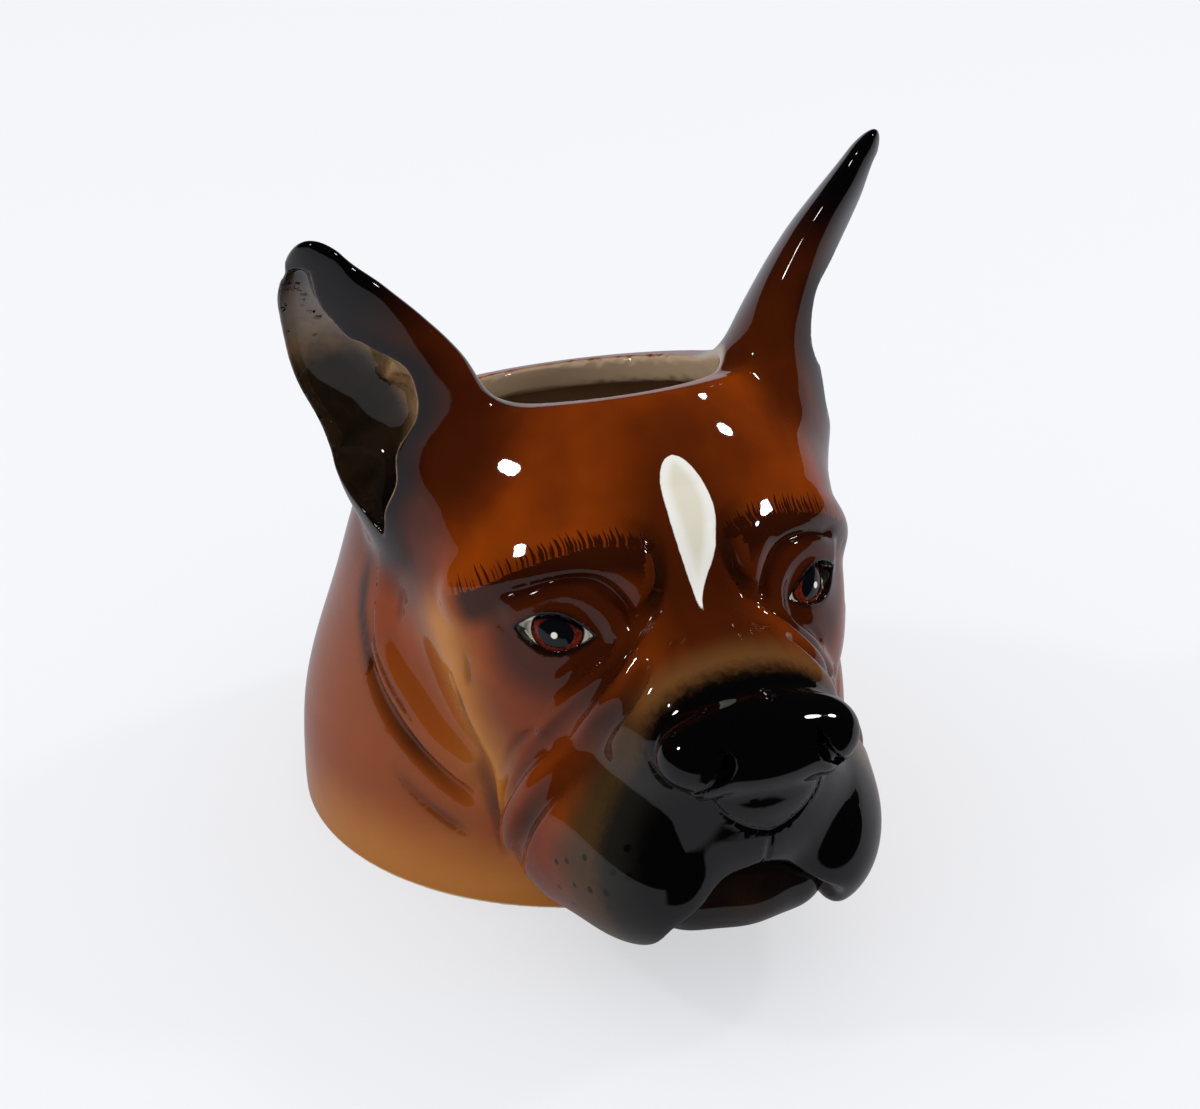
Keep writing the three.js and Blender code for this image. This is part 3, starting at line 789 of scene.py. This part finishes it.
# Painted shade: umber over the creases and a near black down the deepest of them.
paint = brush.laid(paint, UMBER, shade_in_creases * 0.9)
paint = brush.laid(paint, colour(22, 20, 10), brush.attribute("deep_crease_shade") * 0.85)
paint = brush.laid(paint, UMBER, brush.attribute("lid").fade(32.0, 15.0) * 0.85)
ear_up = brush.attribute("ear_up")
cup = brush.attribute("cup")
ear_gap = brush.attribute("ear_gap") + cloud * 8.0
paint = brush.laid(paint, UMBER, ear_gap.fade(22.0, 4.0) * 0.78)
paint = brush.laid(paint, BLACK, (ear_up + cloud * 0.25).fade(0.5, 0.95))
paint = brush.laid(paint, BLACK, (cup + cloud * 6.0).fade(-13.0, 0.0) * 0.92)
stain = brush.noise(place, 90.0, 4.0, 0.65).fade(0.35, 0.7)
khaki = brush.laid(colour(150, 116, 78), colour(104, 80, 54), stain)
# Grey over the upper part of the cup is a painted reflection of the room.
lining = brush.laid(khaki, colour(104, 95, 88), (ear_up + cloud * 0.1).fade(0.45, 0.8))
# Black on the outer side of the cup, low down, is partly black paint and partly painted shade.
outer = (brush.attribute("ear_out") + cloud * 0.3).fade(0.2, 0.55) * ear_up.fade(0.64, 0.42)
lining = brush.laid(lining, BLACK, outer * 0.94)
# Black at the foot of the cup and where it is deepest is painted shade.
lining = brush.laid(lining, BLACK, ear_up.fade(0.08, -0.02) * 0.8)
lining = brush.laid(lining, BLACK, cup.fade(9.0, 15.0) * ear_up.fade(0.5, 0.2) * 0.8)
lining = brush.laid(lining, BLACK, ear_up.fade(0.7, 0.95))
paint = brush.laid(paint, lining, cup.fade(-1.3, -0.5))
rise, run = brush.attribute("brow_rise"), brush.attribute("brow_run")
leaning = {"W": run * 0.85 + rise * 0.35, "Scale": 1.0, "Detail": 2.0}
hair = brush.node("ShaderNodeTexNoise", {"noise_dimensions": "1D"}, leaning)
under = rise.fade(-15.0, -7.0) * front_y.fade(-0.06, -0.075) * run.fade(0.0, 8.0) * run.fade(88.0, 82.0)
strokes = (hair * 15.0 - 4.6 - rise).fade(-0.4, 0.7) * under
paint = brush.laid(paint, colour(38, 11, 3), strokes * 0.93)
halo = (soot + cloud * 4.0).fade(16.0, 5.0) * high_z.fade(0.104, 0.114) * front_y.fade(-0.11, -0.13)
paint = brush.laid(paint, colour(112, 76, 40), halo * 0.65)
black = (soot + grain * 5.0 + cloud * 3.0).fade(9.0, 1.0)
flank = (soot + cloud * 5.0).fade(0.0, -12.0).most(high_z.fade(0.085, 0.1))
paint = brush.laid(paint, brush.laid(colour(27, 25, 20), BLACK, flank), black)
mirrored = brush.node("ShaderNodeCombineXYZ", {}, {0: off_x, 1: front_y, 2: high_z})
for x, y, z, radius in WHISKERS:
    between = {0: mirrored, 1: (x * MM, y * MM, z * MM)}
    gap = brush.node("ShaderNodeVectorMath", {"operation": "DISTANCE"}, between, 1) * 1000.0
    paint = brush.laid(paint, colour(3, 3, 3), (gap - grain * 0.6).fade(radius, radius - 0.5) * 0.9)

leaf = brush.attribute("blaze")
hollow_tone = brush.laid(CREAM, colour(228, 222, 202), (leaf + cloud * 4.0).fade(3.5, 7.5))
paint = brush.laid(paint, hollow_tone, (leaf + grain * 0.5).fade(0.1, 0.5))


# Painted eyes: a dark liner runs along the lids. White, a red-brown iris, a black pupil and one
# spark of light are set on the ball with a fine brush.
IRIS, PUPIL, IRIS_UP = 8.9, 6.0, 0.9


def painted_eye(paint):
    """Liner, white, iris, pupil and spark, laid inside the almond in the eye's own axes."""
    about = brush.node("ShaderNodeVectorMath", {"operation": "SUBTRACT"}, {0: mirrored, 1: tuple(EYE * MM)})
    u, v, out = (brush.dot(about, tuple(axis)) * 1000.0 for axis in (EYE_SIDE, -EYE_UP, EYE_OUT))
    s = (u - ALMOND_MIDDLE) * (1 / ALMOND_HALF)
    bow = 1.0 - s * s
    centre = ALMOND_RISE - s * ALMOND_TILT
    under_lid = v - bow * UPPER_LID - centre
    opening = under_lid.most(centre - bow * LOWER_LID - v)
    near = out.fade(3.0, 5.0) * (u * u + v * v).fade(420.0, 400.0)
    liner = opening.fade(2.6, 0.2) * near
    paint = brush.laid(paint, colour(18, 10, 8), liner)
    white = opening.fade(0.0, -0.5) * near
    up = v - IRIS_UP
    iris_gap = brush.node("ShaderNodeMath", {"operation": "SQRT"}, {0: u * u + up * up * 1.64})
    streak = brush.noise(place, 900.0, 3.0, 0.7)
    ring = brush.laid(colour(120, 40, 22), colour(52, 18, 12), streak.fade(0.35, 0.7))
    eye = brush.laid(colour(238, 232, 214), colour(14, 8, 8), iris_gap.fade(IRIS + 0.3, IRIS - 0.3))
    eye = brush.laid(eye, ring, iris_gap.fade(IRIS - 0.5, IRIS - 0.9))
    eye = brush.laid(eye, colour(8, 10, 14), iris_gap.fade(PUPIL + 0.3, PUPIL - 0.2))
    shade = under_lid.fade(-2.8, -1.8) * iris_gap.fade(IRIS + 0.3, IRIS - 0.3)
    eye = brush.laid(eye, colour(5, 4, 5), shade)
    aside, up = u - 0.2, v - 0.4
    spark_gap = brush.node("ShaderNodeMath", {"operation": "SQRT"}, {0: aside * aside + up * up})
    eye = brush.laid(eye, colour(236, 230, 214), spark_gap.fade(1.25, 0.9))
    return brush.laid(paint, eye, white)


paint = painted_eye(paint)

# Inside and foot: the hollow is glazed a tan that runs up over the rim, darker lower down inside. The foot
# is wiped bare, so that the pot doesn't stick to the kiln shelf.
within = brush.attribute("within")
inner = brush.laid(colour(190, 164, 134), colour(172, 138, 106), (cloud * 0.03 + high_z).fade(0.14, 0.10))
paint = brush.laid(paint, inner, within.fade(-2.5, -0.5))
bottom = high_z.fade(0.0009, 0.0003)
paint = brush.laid(paint, colour(214, 200, 176), bottom)
brush.tree.links.new(paint.socket, head_shader.inputs["Base Color"])
peel = {"Strength": 0.07, "Distance": 0.0004, "Height": brush.noise(place, 160.0, 2.0)}
brush.tree.links.new(brush.node("ShaderNodeBump", {}, peel).socket, head_shader.inputs["Normal"])
pot.data.materials.append(head_glaze)


# Lower jaw: a solid pad of clay, pressed by hand and luted up into the mouth with a hair's gap
# all round. It is black under the same glaze.
CHIN, CHIN_SIDE = ((0, -128, 45), (33, 39, 21)), ((17, -134, 44), (17, 28, 17))
JAW_BACK = (0, -100, 46), (38, 34, 22)
GAP, JAW_LOW, JAW_HIGH = 0.3, (-46, -172, 22), (46, -58, 72)


def jaw(p):
    """A broad chin pad set up between the flews, rounded at the front: three masses joined."""
    q = mirror(p)
    chin = join(body(q, *CHIN), body(q, *CHIN_SIDE), 8)
    return join(chin, body(q, *JAW_BACK), 10)


def jaw_pad(p):
    """The jaw less the head around it, a gap apart."""
    return np.maximum(jaw(p), GAP - face(p))


chin, _ = skin("chin_pad", jaw_pad, JAW_LOW, JAW_HIGH, 1.6, [])
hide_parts("lower_jaw")
jaw_glaze, jaw_shader, jaw_brush = glaze("black glaze")
jaw_mottle = jaw_brush.noise(jaw_brush.node("ShaderNodeTexCoord", {}, {}, 3), 40.0, 3.0)
tint = jaw_brush.laid(colour(14, 9, 7), colour(40, 22, 14), jaw_mottle.fade(0.4, 0.9))
jaw_brush.tree.links.new(tint.socket, jaw_shader.inputs["Base Color"])
chin.data.materials.append(jaw_glaze)


# Table: seamless white paper under and behind the pot. It shows nearly white to the camera and
# pale grey in the glaze, where it ends in front of the muzzle at the dark of the studio.
TABLE_HALF = 12
corners = [(TABLE_HALF * x, TABLE_HALF * y, 0) for x, y in ((-1, -1), (1, -1), (1, 1), (-1, 1))]
table_mesh = bpy.data.meshes.new("white table")
table_mesh.from_pydata(corners, [], [(0, 1, 2, 3)])
floor = bpy.data.objects.new("white table", table_mesh)
bpy.context.scene.collection.objects.link(floor)
paper = bpy.data.materials.new("white table")
paper.use_nodes = True
paper_shader = paper.node_tree.nodes["Principled BSDF"]
paper_shader.inputs["Roughness"].default_value = 0.9
paper_shader.inputs["Specular IOR Level"].default_value = 0.1
table_mesh.materials.append(paper)
table = Wire(paper.node_tree)
spot = table.node("ShaderNodeTexCoord", {}, {}, 3)
ahead, aside = table.dot(spot, (0, -1, 0)), table.dot(spot, (0.934, -0.358, 0))
studio = (ahead.fade(0.25, 0.27) * aside.fade(0.02, 0.05)).most(ahead.fade(0.5, 0.6))
in_glaze = table.laid(colour(176, 176, 180), colour(24, 24, 26), studio)
glossed = table.node("ShaderNodeLightPath", {}, {}, "Is Glossy Ray")
tone = table.laid(colour(243, 244, 247), in_glaze, glossed)
table.tree.links.new(tone.socket, paper_shader.inputs["Base Color"])
white = table.node("ShaderNodeEmission", {}, {"Color": colour(248, 249, 252), "Strength": 1.0})
seen = table.node("ShaderNodeLightPath", {}, {}, "Is Camera Ray")
shadowed = Wire(table.tree, paper_shader.outputs[0])
mixed = table.node("ShaderNodeMixShader", {}, {0: seen * 0.6, 1: shadowed, 2: white})
table.tree.links.new(mixed.socket, paper.node_tree.nodes["Material Output"].inputs["Surface"])


# Studio: a pale room that is white to the camera and dark in the glaze, and two small round
# lamps, one over each side, whose images are the hard sparks on the glaze.
world = bpy.data.worlds.new("pale room")
bpy.context.scene.world = world
world.use_nodes = True
sky = Wire(world.node_tree)
in_glaze = sky.node("ShaderNodeLightPath", {}, {}, "Is Glossy Ray")
room = sky.laid(colour(236, 237, 240), colour(26, 26, 28), in_glaze)
seen = sky.node("ShaderNodeLightPath", {}, {}, "Is Camera Ray")
room = sky.laid(room, colour(255, 255, 255), seen)
world.node_tree.links.new(room.socket, world.node_tree.nodes["Background"].inputs["Color"])


LAMP_SIZE, LAMP_WATTS, HEAD_MIDDLE = 0.18, 3.5, Vector((0, -0.05, 0.1))


def soft_box(name, place):
    """A round lamp that looks at the middle of the head."""
    lamp = bpy.data.lights.new(name, "AREA")
    lamp.shape = "DISK"
    lamp.size = LAMP_SIZE
    lamp.energy = LAMP_WATTS
    obj = bpy.data.objects.new(name, lamp)
    aim = HEAD_MIDDLE - Vector(place)
    obj.matrix_world = Matrix.Translation(place) @ aim.to_track_quat("-Z", "Y").to_matrix().to_4x4()
    bpy.context.scene.collection.objects.link(obj)


soft_box("left soft box", (-1.1, 0.18, 1.2))
soft_box("right soft box", (1.15, -0.1, 1.15))


# Camera: above the muzzle and to the dog's right of it, a metre away with a long lens. It looks at
# the bridge of the nose, which is then moved off the middle of the picture.
AZIMUTH, ELEVATION, DISTANCE = np.radians(-21), np.radians(29), 1.0
FOCAL_LENGTH, FRAME_WIDTH = 93.75, 36.0
AIM, SHIFT_ACROSS, SHIFT_UP = Vector((0, -0.112, 0.120)), -0.03104, 0.02096
across = Vector((np.cos(AZIMUTH), np.sin(AZIMUTH), 0))
level = Vector((np.sin(AZIMUTH), -np.cos(AZIMUTH), 0))
back = level * np.cos(ELEVATION) + Vector((0, 0, np.sin(ELEVATION)))
rise = back.cross(across)
lens = bpy.data.cameras.new("long lens")
lens.lens, lens.sensor_width = FOCAL_LENGTH, FRAME_WIDTH
camera = bpy.data.objects.new("long lens", lens)
turn = Matrix((across, rise, back)).transposed().to_4x4()
stand = AIM + SHIFT_ACROSS * across + SHIFT_UP * rise + DISTANCE * back
camera.matrix_world = Matrix.Translation(stand) @ turn
bpy.context.scene.collection.objects.link(camera)
bpy.context.scene.camera = camera
bpy.context.scene.view_settings.view_transform = "Standard"
